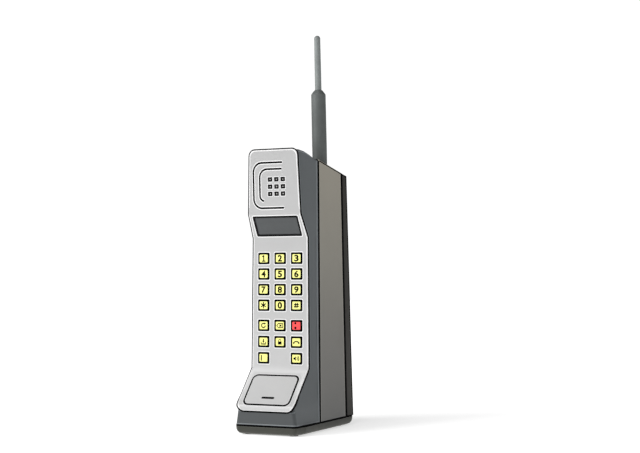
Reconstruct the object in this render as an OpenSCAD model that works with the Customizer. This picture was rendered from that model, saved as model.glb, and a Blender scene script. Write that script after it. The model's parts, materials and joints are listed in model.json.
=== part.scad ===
// Early mobile brick phone: handset, twenty keys, clip-on battery pack and screw-on antenna.
// Millimetres. +Z up, the earpiece and keys face -Y, origin on the floor under the middle of the phone.

/* [Body] */
// Half width of the housings
half_w = 31; // [29:0.5:34]
// Front of the chin, furthest forward
y_front = -46.5; // [-48:0.5:-45]
// Back of the battery pack at its foot, furthest back
y_back = 49; // [48:0.1:50]
// Back of the battery pack at its top
y_back_top = 45.7; // [45.5:0.1:46]
// Parting plane between the front and rear housings, at the bottom
y_part = -9.0; // [-10:0.1:-8]
// The same plane at the top
y_part_top = -2.8; // [-3.4:0.1:-2]
// Parting plane between the rear housing and the battery pack
y_pack = 36.3; // [35.5:0.1:37]
// Height of the joint between the base cap and the housings
z_base = 7.6; // [7:0.1:8.2]
// Height of the front top edge
z_top = 236; // [232:1:240]
// Wall thickness of the housings
wall = 2.4; // [2:0.1:2.8]

/* [Face] */
// Thickness of the faceplate
plate_t = 2.0; // [1.8:0.1:2.2]
// Backward lean of the keypad, in degrees
key_lean = 2.6; // [2:0.1:3]

/* [Keys] */
// Width of a key cap
key_w = 8.6; // [8.2:0.1:9]
// Height of a key cap
key_h = 7.3; // [7:0.1:7.5]
// Distance between key columns
col_pitch = 16; // [15.5:0.1:16.5]
// Travel of a key
key_travel = 0.9; // [0.6:0.1:0.9]
// Height of a key cap above the faceplate
key_proud = 0.6; // [0.5:0.1:1.2]

/* [Antenna] */
// Height of the antenna tip
z_tip = 333; // [320:1:345]
// Radius of the lower sleeve
sleeve_r = 6.2; // [5.8:0.1:6.4]
// Radius of the upper whip
whip_r = 2.75; // [2.5:0.05:3]
// Position of the antenna across the phone
ant_x = 20.5; // [19.5:0.5:21]
// Position of the antenna front to back
ant_y = 18; // [16:0.5:20]

/* [Base] */
// Radius of the charging jack's socket
jack_r = 2.75; // [2.5:0.05:3]

/* [Hidden] */

// ---- colours
c_plate = [0.80, 0.80, 0.80];
c_front = [0.37, 0.39, 0.40];
c_rear = [0.50, 0.49, 0.46];
c_pack = [0.20, 0.19, 0.17];
c_base = [0.31, 0.32, 0.29];
c_key = [1.0, 1.0, 0.60];
c_red = [1.0, 0.36, 0.36];

// ---- small helpers
function arc(cx, cy, r, a0, a1, n = 6) = [for (i = [0:n]) [cx + r * cos(a0 + (a1 - a0) * i / n), cy + r * sin(a0 + (a1 - a0) * i / n)]];
function rrect(w, h, r, n = 5) = concat(arc(w/2 - r, h/2 - r, r, 0, 90, n), arc(-w/2 + r, h/2 - r, r, 90, 180, n),
  arc(-w/2 + r, -h/2 + r, r, 180, 270, n), arc(w/2 - r, -h/2 + r, r, 270, 360, n));
function moved(p, x, y) = [for (q = p) [q[0] + x, q[1] + y]];
function reversed(p) = [for (i = [len(p) - 1:-1:0]) p[i]];
function cross2(a, b) = a[0] * b[1] - a[1] * b[0];
function unit(a) = a / norm(a);
function meet(p, d, q, e) = p + d * cross2(q - p, e) / cross2(d, e);
// inward normal of a front-profile step that runs upward
function inward(a, b) = let(t = unit(b - a)) [t[1], -t[0]];
// the front profile moved inward by d
function inset(P, d) = let(n = len(P) - 1) [for (i = [0:n])
  i == 0 ? P[0] + inward(P[0], P[1]) * d :
  i == n ? P[n] + inward(P[n-1], P[n]) * d :
  meet(P[i-1] + inward(P[i-1], P[i]) * d, P[i] - P[i-1], P[i] + inward(P[i], P[i+1]) * d, P[i+1] - P[i])];
// left and right sides of an open line of width w
function side_of(P, s) = let(n = len(P) - 1) [for (i = [0:n]) let(
    t = i == 0 ? unit(P[1] - P[0]) : i == n ? unit(P[n] - P[n-1]) : unit(unit(P[i] - P[i-1]) + unit(P[i+1] - P[i])))
  P[i] + [-t[1], t[0]] * s];
function stroke(P, w) = concat(side_of(P, w/2), reversed(side_of(P, -w/2)));

// polygon in x,z extruded from depth y0 to y1
module face_prism(pts, y0, y1) translate([0, y1, 0]) rotate([90, 0, 0]) linear_extrude(y1 - y0) polygon(pts);
// polygon in y,z extruded from x0 to x1
module side_prism(pts, x0, x1) translate([x0, 0, 0]) rotate([90, 0, 90]) linear_extrude(x1 - x0) polygon(pts);
// polygon in x,y extruded from z0 to z1
module plan_prism(pts, z0, z1) translate([0, 0, z0]) linear_extrude(z1 - z0) polygon(pts);
module block(x0, x1, y0, y1, z0, z1) translate([x0, y0, z0]) cube([x1 - x0, y1 - y0, z1 - z0]);
module rod_y(x, z, r, y0, y1, fn = 48) translate([x, y0, z]) rotate([-90, 0, 0]) cylinder(r = r, h = y1 - y0, $fn = fn);
// solid through stacked closed loops that all have the same number of points
module loft(L) {
  n = len(L[0]); m = len(L);
  polyhedron(
    points = [for (r = L) each r],
    faces = concat(
      [[for (i = [0:n-1]) i]], [[for (i = [n-1:-1:0]) (m-1)*n + i]],
      [for (j = [0:m-2]) for (i = [0:n-1]) [j*n + i, (j+1)*n + i, j*n + (i+1) % n]],
      [for (j = [0:m-2]) for (i = [0:n-1]) [j*n + (i+1) % n, (j+1)*n + i, (j+1)*n + (i+1) % n]]),
    convexity = 6);
}

// ---- front profile, y and z, from the chin to the top
lip = [y_front, 24.3];
key_lo = [-20.56, 53.7];
key_hi = [-15.65, 162];
ear_lo = [-24.7, 182.4];
ear_hi = [-24.7, z_top];
z_lip = 20.4;
slant = unit(key_lo - lip);
lip_r = 5;
lip_turn = 90 - atan2(slant[1], slant[0]);
lip_cut = lip_r * tan(lip_turn / 2);
lip_arc = [for (i = [0:3]) let(a = 180 - lip_turn * i / 3) [y_front + lip_r + lip_r * cos(a), lip[1] - lip_cut + lip_r * sin(a)]];
front = concat([[y_front, z_lip]], lip_arc, [key_lo, key_hi, ear_lo, ear_hi]);

// the parting plane leans back as it rises
function part_y(z) = y_part + (y_part_top - y_part) * (z - z_base) / (top_z(y_part_top) - z_base);
// the back of the pack leans forward as it rises
back_top = 213.9;
function back_y(z) = y_back + (y_back_top - y_back) * (z - z_base) / (back_top - z_base);
back_tilt = atan((y_back - y_back_top) / (back_top - z_base));
module on_back() translate([0, back_y(101), 101]) rotate([back_tilt, 0, 0]) children();

// half width of the faceplate at height z
function plate_hw(z) = lookup(z, [[z_base, 29.5], [z_lip, 27.4], [lip[1], 27.0], [key_lo[1], 27.3], [key_hi[1], 26.3], [ear_lo[1], 24.9], [z_top, 23]]);
// top of the housings at depth y
top_line = [[-24.7, z_top], [-19.5, z_top - 0.3], [-15.5, z_top - 1.6], [-11, z_top - 4.2], [-5.8, z_top - 7.9], [y_pack, 216.4], [y_back_top, back_top]];
function top_z(y) = lookup(y, top_line);

// ---- frames on the faces: x across, y into the phone, z up the face
key_mid = [-18.1, 108];
module on_keys() translate([0, key_mid[0], key_mid[1]]) rotate([-key_lean, 0, 0]) children();
disp_mid = (key_hi + ear_lo) / 2;
disp_tilt = atan2(key_hi[0] - ear_lo[0], ear_lo[1] - key_hi[1]);
module on_display() translate([0, disp_mid[0], disp_mid[1]]) rotate([disp_tilt, 0, 0]) children();
mouth_mid = (lip + key_lo) / 2;
mouth_tilt = -(90 - atan2(slant[1], slant[0]));
module on_mouth() translate([0, mouth_mid[0], mouth_mid[1]]) rotate([mouth_tilt, 0, 0]) children();
module on_ear() translate([0, ear_lo[0], 0]) children();

// key rows as heights up the keypad face, counted from its middle
rows = [37.3, 24.2, 11.1, -2.0, -18.9, -32.5, -46.1];
function key_x(c) = (c - 1) * col_pitch;
// column and row of every key
KEYS = [[0, 0], [1, 0], [2, 0], [0, 1], [1, 1], [2, 1], [0, 2], [1, 2], [2, 2], [0, 3], [1, 3], [2, 3],
  [0, 4], [1, 4], [2, 4], [0, 5], [1, 5], [2, 5], [0, 6], [2, 6]];
hole_w = key_w + 1.8;
hole_h = key_h + 1.7;

// ---- earpiece: three by three sound holes and two curved grooves
ear_x = 2.8; ear_z = 205.2; ear_px = 6.2; ear_pz = 6.0; ear_w = 3.9; ear_h = 3.3;
groove_out = concat([[8.8, 225.3]], arc(-11.5, 217.3, 8, 90, 180, 8), arc(-11.5, 195.4, 8, 180, 270, 8), [[9.8, 187.4]]);
groove_in = concat([[8.2, 219.9]], arc(-6.4, 212.9, 7, 90, 180, 8), arc(-8.9, 197.8, 4.5, 180, 262, 5));

// ---- mouthpiece cover, on the slanted face
mp_w = 42.6; mp_h = 28.6; mp_r = 4.2; mp_mid = -3.1; mp_slot = -11;
// ---- display window, on the face that leans over the keypad
win_w = 41.6; win_h = 16.4;

// =============================================================== handset shells

shell_face = inset(front, plate_t);
// one level of the front shell: front edge with corners of radius r, back edge on the parting plane
function front_loop(h, y, z, r) = [for (p = concat(arc(h - r, y + r, r, -90, 0, 4), [[half_w, part_y(z)], [-half_w, part_y(z)]], arc(-h + r, y + r, r, 180, 270, 4))) [p[0], p[1], z]];
// the level of the chin's ledge, where the faceplate's foot stands on the rounded chin
function ledge_loop(h, y, z) = let(yf = y_front + 0.5, a = arc(h - 3, yf + 3, 3, -90, 0, 4), t = (y - a[2][1]) / (a[3][1] - a[2][1]),
  R = [[h - 2.5, y], [h - 1.5, y], [a[2][0] + (a[3][0] - a[2][0]) * t, y], a[3], a[4]])
  [for (p = concat(R, [[half_w, part_y(z)], [-half_w, part_y(z)]], [for (i = [4:-1:0]) [-R[i][0], R[i][1]]])) [p[0], p[1], z]];
module front_body() {
  rows_f = concat([[y_front + 0.5, z_base], [y_front + 0.5, z_lip - 0.3]], [[shell_face[0][0], z_lip - 0.3]],
    [for (i = [1:len(shell_face) - 1]) shell_face[i]]);
  intersection() {
    loft([for (i = [0:len(rows_f) - 1]) let(p = rows_f[i], h = plate_hw(p[1])) i == 2 ? ledge_loop(h, p[0], p[1]) : front_loop(h, p[0], p[1], i < 2 ? 3.0 : 0.7)]);
    side_prism(concat([[y_front - 1, z_base - 1], [y_front - 1, z_top - 0.0]], [[-24.7, z_top]], [for (p = top_line) if (p[0] > -22 && p[0] < 0) p], [[1, top_z(1)], [1, z_base - 1]]), -40, 40);
  }
}

// what is rounded off one top corner of the front shell
module corner_cut() {
  ys = [-25, -19.5, -15.5, -11, -5.8, y_part_top + 0.2];
  loft([for (y = ys) let(f = (y + 24.7) / (y_part_top + 24.7), h = 23 + (half_w - 23) * f, z = top_z(max(y, -24.7)), r = 5 - 2.6 * f)
    reversed(concat([[h + 2, y, z - r], [h + 2, y, z + 2], [h - r, y, z + 2]], [for (i = [0:6]) [h - r + (r + 0.001) * sin(15 * i), y, z - r + (r + 0.001) * cos(15 * i)]]))]);
}
module front_shell() color(c_front) {
  inner = inset(front, plate_t + wall - 0.2);
  difference() {
    union() {
      difference() {
        front_body();
        corner_cut();
        mirror([1, 0, 0]) corner_cut();
        // hollow, narrower beside the earpiece than beside the keys
        side_prism(concat([[0, z_base + wall], [inner[0][0], z_base + wall]], [for (i = [1:len(inner) - 1]) [inner[i][0], min(inner[i][1], z_top - 3.5)]],
          [[-14, z_top - 6.5], [0, z_top - 12.6]]), -20.6, 20.6);
        side_prism(concat([[0, z_base + wall], [inner[0][0], z_base + wall]], [for (i = [1:len(inner) - 3]) inner[i]],
          [[-14, 176], [0, 176]]), -24.4, 24.4);
      }
      // bosses for the case screws
      for (x = [-1, 1], z = [38, 178]) rod_y(x * 24.2, z, 3.4, -14, part_y(z - 3.4));
    }
    // case screw holes
    for (x = [-1, 1], z = [38, 178]) rod_y(x * 24.2, z, 1.55, -11.5, 0);
    // window for the keys
    on_keys() face_prism(moved(rrect(46.2, 97.6, 2), 0, -4.4), 1, 6);
    // window for the display
    on_display() face_prism(rrect(40.4, 15.2, 1), 1, 6);
    // window for the earpiece
    on_ear() face_prism(moved(rrect(25.6, 24.6, 3), ear_x, ear_z), 1, 6);
    // sound way to the microphone
    on_mouth() face_prism(moved(rrect(12.4, 4.4, 1.6), 0, mp_slot), 1, 6);
    // base cap screw holes
    for (x = [-1, 1]) translate([x * 20, -30, z_base - 1]) cylinder(r = 1.3, h = 6, $fn = 32);
  }
}

module rear_shell() color(c_rear) {

  difference() {
    union() {
      difference() {
        side_prism([[y_part, z_base], [y_pack, z_base], [y_pack, top_z(y_pack)], [y_part_top, top_z(y_part_top)]], -half_w, half_w);
        // hollow in front of the pocket for the pack
        side_prism([[-12, z_base + wall], [19.6, z_base + wall], [19.6, top_z(19.6) - wall], [-12, top_z(y_part_top) + 2.5 - wall]], -half_w + wall, half_w - wall);
        // hollow above the pocket
        side_prism([[19, 190.4], [33.9, 190.4], [33.9, top_z(33.9) - wall], [19, top_z(19) - wall]], -half_w + wall, half_w - wall);
        // pocket for the pack
        block(-26.2, 26.2, 22, y_pack + 1, 14, 188);
      }
      // tubes for the case screws
      for (x = [-1, 1], z = [38, 178]) rod_y(x * 24.2, z, 3.4, part_y(z + 3.4), 20);
      // well of the antenna
      intersection() {
        translate([ant_x, ant_y, 208]) cylinder(r = 8.9, h = 22, $fn = 64);
        side_prism([[y_part, z_base], [y_pack, z_base], [y_pack, top_z(y_pack)], [y_part_top, top_z(y_part_top)]], -half_w, half_w);
      }
    }
    for (x = [-1, 1], z = [38, 178]) { rod_y(x * 24.2, z, 1.75, -12, 23); rod_y(x * 24.2, z, 3.0, 20.0, 23); }
    translate([ant_x, ant_y, 200]) cylinder(r = 5.05, h = 20, $fn = 64);
    translate([ant_x, ant_y, 215.5]) cylinder(r = sleeve_r + 0.45, h = 20, $fn = 64);
    // keeper slot for the pack's catch
    block(-4.6, 4.6, 33, y_pack + 1, 199.6, 207);
    // slots for the battery terminals
    for (x = [-9, 0, 9]) block(x - 1.7, x + 1.7, 19, 23, 168.8, 177.2);
    for (x = [-1, 1]) translate([x * 20, 12, z_base - 1]) cylinder(r = 1.3, h = 5, $fn = 32);
  }
}

module faceplate() color(c_plate) {
  inner = inset(front, plate_t);

  difference() {
    intersection() {
      side_prism(concat(front, reversed(inner)), -40, 40);
      face_prism(concat(arc(20.4, z_lip + 7, 7, -90, 0, 6), [[plate_hw(53.7), 53.7], [plate_hw(162), 162], [plate_hw(182.4), 182.4]],
        arc(plate_hw(z_top - 5) - 5, z_top - 5, 5, 0, 90, 6), arc(-plate_hw(z_top - 5) + 5, z_top - 5, 5, 90, 180, 6),
        [[-plate_hw(182.4), 182.4], [-plate_hw(162), 162], [-plate_hw(53.7), 53.7]], arc(-20.4, z_lip + 7, 7, 180, 270, 6)), -60, 10);
    }
    on_keys() for (k = KEYS) face_prism(moved(rrect(hole_w, hole_h, 0.9, 3), key_x(k[0]), rows[k[1]]), -2, 4);
    on_display() face_prism(rrect(win_w + 1.5, win_h + 1.5, 1.2, 4), -2, 4);
    on_ear() {
      for (i = [-1:1], j = [-1:1]) face_prism(moved(rrect(ear_w, ear_h, 0.35, 2), ear_x + i * ear_px, ear_z + j * ear_pz), -1, 4);
      face_prism(stroke(groove_out, 1.1), -1, 0.55);
      face_prism(stroke(groove_in, 1.1), -1, 0.55);
    }
    on_mouth() {
      face_prism(moved(rrect(mp_w + 1.4, mp_h + 1.4, mp_r + 0.5, 6), 0, mp_mid), -1, 1.2);
      face_prism(moved(rrect(12.4, 3.0, 1.2, 3), 0, mp_slot), -1, 4);
    }
  }
}

module mouthpiece_cover() color(c_plate) on_mouth() difference() {
  face_prism(moved(rrect(mp_w, mp_h, mp_r, 6), 0, mp_mid), -0.35, 1.15);
  face_prism(moved(rrect(11.6, 1.7, 0.8, 4), 0, mp_slot), -2, 3);
}

// =============================================================== earpiece

module earpiece_grille() color([0.74, 0.74, 0.73]) on_ear() difference() {
  union() {
    face_prism(moved(rrect(25.2, 24.2, 2.8), ear_x, ear_z), plate_t + 0.05, plate_t + 1.1);
    for (i = [-1:1], j = [-1:1]) face_prism(moved(rrect(1.3, 1.3, 0.2, 2), ear_x + i * ear_px, ear_z + j * ear_pz), 0.25, plate_t + 0.5);
  }
  // sound slots beside each peg
  for (i = [-1:1], j = [-1:1]) for (s = [-1, 1]) face_prism(moved(rrect(0.6, 2.4, 0.25, 2), ear_x + i * ear_px + s * 1.15, ear_z + j * ear_pz), plate_t - 1, plate_t + 3);
}
module earpiece_gasket() color([0.12, 0.12, 0.12]) difference() {
  rod_y(ear_x, ear_z, 13.4, ear_lo[0] + 4.3, ear_lo[0] + 5.8, 64);
  rod_y(ear_x, ear_z, 11.2, ear_lo[0] + 4, ear_lo[0] + 6, 64);
}
module earpiece_speaker() color([0.25, 0.25, 0.27]) {
  difference() {
    union() {
      rod_y(ear_x, ear_z, 14.0, ear_lo[0] + 5.8, ear_lo[0] + 9.6, 64);
      rod_y(ear_x, ear_z, 9.0, ear_lo[0] + 9.6, ear_lo[0] + 14.2, 64);
    }
    rod_y(ear_x, ear_z, 11.2, ear_lo[0] + 5, ear_lo[0] + 6.8, 64);
  }
}

// =============================================================== display

module display_window() color([0.37, 0.39, 0.40]) on_display() face_prism(rrect(win_w, win_h, 0.9, 4), 0.45, 1.95);
module display_module() color([0.10, 0.10, 0.11]) on_display() {
  difference() {
    face_prism(rrect(39.8, 14.6, 0.6, 2), 2.15, 7.4);
    for (i = [0:7]) face_prism(moved(rrect(3.6, 7.2, 0.4, 2), -17.15 + i * 4.9, 0.2), 1, 2.75);
  }
  face_prism(rrect(38, 13, 0.6, 2), 7.4, 8.4);
}

// =============================================================== keypad

module keypad_seal() color([0.09, 0.09, 0.10]) on_keys() difference() {
  union() {
    face_prism(moved(rrect(45.6, 97.0, 1.8), 0, -4.4), plate_t + 0.05, plate_t + 0.45);
    for (k = KEYS) face_prism(moved(rrect(hole_w - 0.16, hole_h - 0.16, 0.85, 3), key_x(k[0]), rows[k[1]]), 0.05, plate_t + 0.2);
  }
  for (k = KEYS) face_prism(moved(rrect(key_w + 0.62, key_h + 0.62, 0.8, 3), key_x(k[0]), rows[k[1]]), -1, 4);
}
module keypad_board() color([0.16, 0.33, 0.20]) on_keys() difference() {
  face_prism(moved(rrect(45, 96.4, 1.5), 0, -4.4), 6.3, 7.9);
  for (x = [-1, 1], z = [-50, 41]) rod_y(x * 20.2, z, 1.2, 6, 8.5, 24);
}
module dome_contacts() color([0.78, 0.78, 0.74]) on_keys() for (k = KEYS) rod_y(key_x(k[0]), rows[k[1]], 3.2, 5.75, 6.3, 24);
module ribbon_cable() color([0.82, 0.72, 0.48]) {
  block(-8, 8, -12.34, -3.3, 60, 60.3);
  block(-8, 8, -3.7, -3.3, 60, 66);
}

// one key: cap, flange behind the seal and a plunger over its dome
module key(k, c) color(c) on_keys() translate([key_x(k[0]), 0, rows[k[1]]]) {
  face_prism(rrect(key_w - 0.5, key_h - 0.5, 0.7, 3), -key_proud, -key_proud + 0.35);
  face_prism(rrect(key_w, key_h, 0.8, 3), -key_proud + 0.35, plate_t + 0.75);
  face_prism(rrect(key_w + 2.4, key_h + 2.4, 0.8, 3), plate_t + 0.75, plate_t + 1.5);
  rod_y(0, 0, 1.6, plate_t + 1.5, 4.5, 24);
}
module key_1() key(KEYS[0], c_key);
module key_2() key(KEYS[1], c_key);
module key_3() key(KEYS[2], c_key);
module key_4() key(KEYS[3], c_key);
module key_5() key(KEYS[4], c_key);
module key_6() key(KEYS[5], c_key);
module key_7() key(KEYS[6], c_key);
module key_8() key(KEYS[7], c_key);
module key_9() key(KEYS[8], c_key);
module key_star() key(KEYS[9], c_key);
module key_0() key(KEYS[10], c_key);
module key_hash() key(KEYS[11], c_key);
module key_recall() key(KEYS[12], c_key);
module key_clear() key(KEYS[13], c_key);
module key_send() key(KEYS[14], c_red);
module key_store() key(KEYS[15], c_key);
module key_lock() key(KEYS[16], c_key);
module key_end() key(KEYS[17], c_key);
module key_power() key(KEYS[18], c_key);
module key_volume() key(KEYS[19], c_key);

// =============================================================== microphone

module microphone_boot() color([0.10, 0.10, 0.10]) on_mouth() difference() {
  rod_y(0, mp_slot, 6.6, 4.35, 10.6, 48);
  rod_y(0, mp_slot, 4.9, 5.6, 12, 48);
  rod_y(0, mp_slot, 1.5, 4, 6, 24);
}
module microphone_capsule() color([0.75, 0.75, 0.76]) on_mouth() rod_y(0, mp_slot, 4.85, 5.7, 11.4, 48);

// =============================================================== inside

module chassis_frame() color([0.66, 0.67, 0.68]) difference() {
  union() {
    block(-20.4, 20.4, 1.6, 3.2, 14, 216);
    for (x = [-20.4, 18.8]) block(x, x + 1.6, 0.6, 5.2, 14, 216);
  }
  block(-14, 14, 1, 4, 24, 60);
  block(-14, 14, 1, 4, 76, 120);
  for (x = [-1, 1], z = [68, 140]) rod_y(x * 16, z, 1.3, 0, 5, 24);
}
module logic_board() color([0.16, 0.36, 0.22]) difference() {
  block(-20.2, 20.2, -3.2, -1.6, 16, 186);
  for (x = [-1, 1], z = [68, 140]) rod_y(x * 16, z, 1.3, -5, 0, 24);
}
module logic_chips() color([0.08, 0.08, 0.09]) {
  block(-14, 0, -1.55, 0.9, 84, 100);
  block(3, 13, -1.55, 0.9, 86, 98);
  block(-12, -2, -1.55, 0.9, 106, 116);
  block(2, 15, -1.55, 0.7, 28, 41);
  block(-15, -5, -1.55, 0.7, 30, 52);
  block(-9, 9, -1.55, 0.4, 150, 162);
}
module radio_board() color([0.16, 0.36, 0.22]) block(-20.2, 20.2, 5.6, 7.2, 16, 188);
module radio_shield() color([0.74, 0.75, 0.76]) difference() {
  block(-18, 18, 7.25, 16.6, 26, 158);
  block(-17.5, 17.5, 7, 16.1, 26.5, 91);
  block(-17.5, 17.5, 7, 16.1, 91.5, 157.5);
}
module duplexer_filter() color([0.70, 0.71, 0.72]) {
  block(-26, 9, 7.4, 25, 192, 206);
  for (i = [0:4]) translate([-22 + i * 6.4, 16, 206]) cylinder(r = 1.6, h = 2.4, $fn = 24);
}
module ringer() color([0.12, 0.12, 0.13]) difference() {
  rod_y(-14, 200, 7.4, 26, 31.5, 48);
  rod_y(-14, 200, 1.2, 30, 33, 24);
}
module antenna_bushing() color([0.78, 0.74, 0.58]) translate([ant_x, ant_y, 0]) difference() {
  union() {
    translate([0, 0, 203.4]) cylinder(r = 5, h = 12.6, $fn = 64);
    translate([0, 0, 215.5]) cylinder(r = 5.7, h = 1.5, $fn = 64);
    translate([0, 0, 204.4]) cylinder(r = 7.4, h = 3.6, $fn = 64);
  }
  translate([0, 0, 205.4]) cylinder(r = 3.05, h = 14, $fn = 64);
}
// coaxial lead from the bushing down to the radio board
module antenna_lead() color([0.15, 0.15, 0.15]) {
  translate([ant_x - 2, ant_y, 190]) cylinder(r = 0.9, h = 13.4, $fn = 24);
  translate([ant_x - 2, ant_y - 5, 190]) rotate([0, 90, 0]) rotate_extrude(angle = 90, $fn = 48) translate([5, 0]) circle(r = 0.9, $fn = 24);
  translate([ant_x - 2, 7.25, 185]) rotate([-90, 0, 0]) cylinder(r = 0.9, h = ant_y - 5 - 7.25, $fn = 24);
}
module battery_terminals() color([0.80, 0.68, 0.36]) for (x = [-9, 0, 9]) {
  block(x - 1.5, x + 1.5, 18.4, 22.12, 170, 176);
}
module case_screws() color([0.72, 0.72, 0.72]) for (x = [-1, 1], z = [38, 178]) difference() {
  union() {
    rod_y(x * 24.2, z, 1.5, -10.5, 20.2, 32);
    rod_y(x * 24.2, z, 2.8, 20.05, 21.8, 32);
  }
  translate([x * 24.2, 21.8, z]) for (a = [0, 90]) rotate([0, a, 0]) cube([3.4, 1.6, 0.7], center = true);
}

// =============================================================== base

// plan of the base, front corners flared like the chin, drawn in by d
function base_plan(d) = let(h = 29.5 - d, w = half_w + 0.2 - d, f = y_front + d, b = y_back - d, r = max(3.2 - d * 0.4, 0.8)) concat(
  arc(h - r, f + r, r, -90, -20, 4), arc(w - r, f + 14, r, -15, 0, 1), arc(w - r, b - r, r, 0, 90, 5),
  arc(-w + r, b - r, r, 90, 180, 5), arc(-w + r, f + 14, r, 180, 195, 1), arc(-h + r, f + r, r, 200, 270, 4));
function base_loop(d, z) = [for (p = base_plan(d)) [p[0], p[1], z]];
module base_cap() color(c_base) difference() {
  loft([base_loop(4.4, 0.6), base_loop(2.1, 1.5), base_loop(0.8, 3.1), base_loop(0.15, 5.0), base_loop(0, z_base - 0.15)]);
  block(-26, 26, -41, 41, 3.6, z_base + 1);
  translate([0, -20, 0]) cylinder(r = 4.3, h = 9, $fn = 48);
  for (x = [-12, 12]) plan_prism(moved(rrect(7.4, 4.4, 0.8, 3), x, 8), 0, 9);
  for (x = [-1, 1], y = [-30, 12]) { translate([x * 20, y, 0]) cylinder(r = 1.4, h = 9, $fn = 32); translate([x * 20, y, 0]) cylinder(r = 2.7, h = 2.4, $fn = 32); }
  for (x = [-1, 1], y = [-36.5, 36]) translate([x * 21.5, y, 0]) cylinder(r = 4.1, h = 1.7, $fn = 48);
}
module base_feet() color([0.10, 0.10, 0.10]) for (x = [-1, 1], y = [-36.5, 36]) translate([x * 21.5, y, 0]) {
  cylinder(r1 = 3.6, r2 = 4.0, h = 0.5, $fn = 48);
  translate([0, 0, 0.5]) cylinder(r = 4.0, h = 1.2, $fn = 48);
}
module base_screws() color([0.72, 0.72, 0.72]) for (x = [-1, 1], y = [-30, 12]) difference() {
  union() {
    translate([x * 20, y, 1.3]) cylinder(r = 2.5, h = 1.1, $fn = 32);
    translate([x * 20, y, 2.3]) cylinder(r = 1.25, h = 8.4, $fn = 32);
  }
  for (a = [0, 90]) translate([x * 20, y, 1.3]) rotate([0, 0, a]) cube([3.2, 0.7, 0.9], center = true);
}
module charge_jack() color([0.14, 0.14, 0.15]) translate([0, -20, 0]) difference() {
  translate([0, 0, 1.2]) cylinder(r = 4.2, h = 6.3, $fn = 64);
  translate([0, 0, 0]) cylinder(r = jack_r, h = 6.7, $fn = 64);
}
module charge_contacts() color([0.85, 0.70, 0.35]) for (x = [-12, 12]) plan_prism(moved(rrect(7.2, 4.2, 0.7, 3), x, 8), 1.5, 3.4);

// =============================================================== battery pack

module battery_case() color(c_pack) difference() {
  union() {
    side_prism([[y_pack + 0.3, z_base + 0.4], [back_y(z_base + 0.4), z_base + 0.4], [y_back_top, back_top - 0.1], [y_pack + 0.3, top_z(y_pack + 0.3) - 0.1]], -half_w, half_w);
    block(-25.7, 25.7, 22.4, y_pack + 1, 14.5, 187.5);
  }
  block(-23.9, 23.9, 24, 48, 16.2, 185.8);
  // seat of the cover
  on_back() face_prism(rrect(55.2, 176, 3), -1.9, 3);
  // latch pocket, open at the back, with the catch way through to the handset
  block(-8.3, 8.3, 39.8, y_back + 1, 191.5, 209.0);
  block(-4.2, 4.2, y_pack - 1, 40.4, 200.6, 206.4);
  // contact windows
  for (x = [-9, 0, 9]) block(x - 2.2, x + 2.2, 22, 23.1, 168.4, 177.6);
}
module battery_cover() color(c_pack) on_back() {
  face_prism(rrect(54.8, 175.6, 2.8), -1.7, -0.5);
  // grip ribs
  for (i = [0:6], z = [49, -77]) face_prism(moved(rrect(40, 2.0, 0.9, 3), 0, z + i * 4.4), -0.5, 0);
}
module battery_cells() color([0.30, 0.42, 0.30]) for (x = [-11.6, 11.6], i = [0:2]) translate([x, 34.2, 19 + i * 55.5]) {
  cylinder(r = 10.1, h = 50, $fn = 48);
  translate([0, 0, 50]) cylinder(r = 3, h = 1.4, $fn = 32);
}
module battery_contacts() color([0.85, 0.72, 0.40]) for (x = [-9, 0, 9]) block(x - 2.1, x + 2.1, 22.45, 23.05, 168.6, 177.4);

module battery_latch() color([0.13, 0.13, 0.13]) {
  face_prism(moved(rrect(15.8, 9.6, 1.0, 3), 0, 203.6), 42.0, y_back_top - 0.9);
  for (i = [0:2]) face_prism(moved(rrect(12.6, 1.2, 0.5, 3), 0, 201 + i * 2.6), y_back_top - 0.9, y_back_top);
  side_prism([[42, 206], [34.6, 206], [33.4, 205.4], [33.4, 203.2], [35.6, 203.2], [35.6, 203.9], [42, 203.9]], -3.8, 3.8);
  block(-7.6, 7.6, 40.2, 42.1, 199.2, 206.2);
}
// wire of a small helical spring, swept round its own points
spring_n = 60; spring_turns = 4; spring_r = 1.5; wire_r = 0.28; spring_h = 6.2;
function spring_p(i) = let(a = 360 * spring_turns * i / spring_n) [spring_r * cos(a), spring_r * sin(a), spring_h * i / spring_n];
module latch_spring() color([0.75, 0.75, 0.76]) translate([0, 43.8, 191.95])
  loft([for (i = [0:spring_n]) let(a = 360 * spring_turns * i / spring_n, p = spring_p(i))
    [for (j = [0:5]) p + wire_r * (cos(60 * j) * [cos(a), sin(a), 0] - sin(60 * j) * [0, 0, 1])]]);

// =============================================================== antenna

module antenna_sleeve() color([0.36, 0.37, 0.37]) translate([ant_x, ant_y, 0]) difference() {
  rotate_extrude($fn = 96) polygon([[0, 217.4], [sleeve_r - 0.5, 217.4], [sleeve_r - 0.1, 217.9], [sleeve_r, 226], [sleeve_r + 0.05, 240], [sleeve_r - 0.05, 282.8], [sleeve_r - 0.4, 283.5],
    [whip_r + 0.8, 286.4], [whip_r + 0.05, 286.8], [0, 286.8]]);
  translate([0, 0, 268]) cylinder(r = whip_r + 0.03, h = 30, $fn = 64);
  translate([0, 0, 216]) cylinder(r = 3.0, h = 10, $fn = 64);
}
module antenna_whip() color([0.50, 0.52, 0.52]) translate([ant_x, ant_y, 0])
  rotate_extrude($fn = 64) polygon(concat([[0, 268.1], [whip_r, 268.1], [whip_r, 300]], arc(0, z_tip - 2.6, 2.6, 0, 90, 8)));
module antenna_stud() color([0.80, 0.70, 0.42]) translate([ant_x, ant_y, 206.2]) cylinder(r = 2.99, h = 19.6, $fn = 64);

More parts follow.
